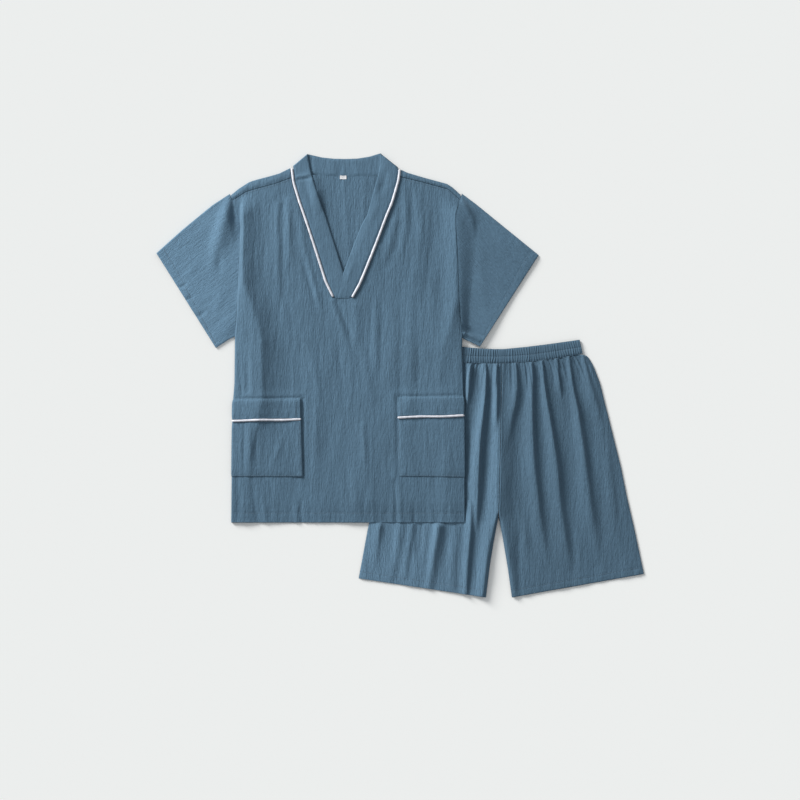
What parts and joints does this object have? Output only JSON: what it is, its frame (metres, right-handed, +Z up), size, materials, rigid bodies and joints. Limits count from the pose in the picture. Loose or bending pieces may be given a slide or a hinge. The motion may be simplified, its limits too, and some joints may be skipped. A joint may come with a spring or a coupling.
{
  "type": "short-sleeve top and shorts set",
  "caption": "Short-sleeve top with a V neck band, contrast piping and patch pockets, laid flat over gathered elastic-waist shorts.",
  "frame": {"origin": "centre of the whole set's outline on the floor it lies on", "axes": "+X towards the shorts' side of the layout, +Y towards the collar, +Z up from the floor"},
  "size_m": [1.0235, 0.9326, 0.0192],
  "materials": {
    "cloth": "crinkled washed cotton",
    "piping": "smooth cotton cord cover",
    "waistband": "gathered cotton over elastic",
    "label": "woven tape"
  },
  "bodies": {
    "root": {"top_front": "cloth", "top_back": "cloth", "sleeve_left": "cloth", "sleeve_right": "cloth", "collar_band": "cloth", "pocket_body_left": "cloth", "pocket_body_right": "cloth", "pocket_cuff_left": "cloth", "pocket_cuff_right": "cloth", "shorts_front_left": "cloth", "shorts_front_right": "cloth", "shorts_back_left": "cloth", "shorts_back_right": "cloth", "neck_piping_left": "piping", "neck_piping_right": "piping", "pocket_piping_left": "piping", "pocket_piping_right": "piping", "waistband": "waistband", "size_label": "label"}
  },
  "joints": []
}
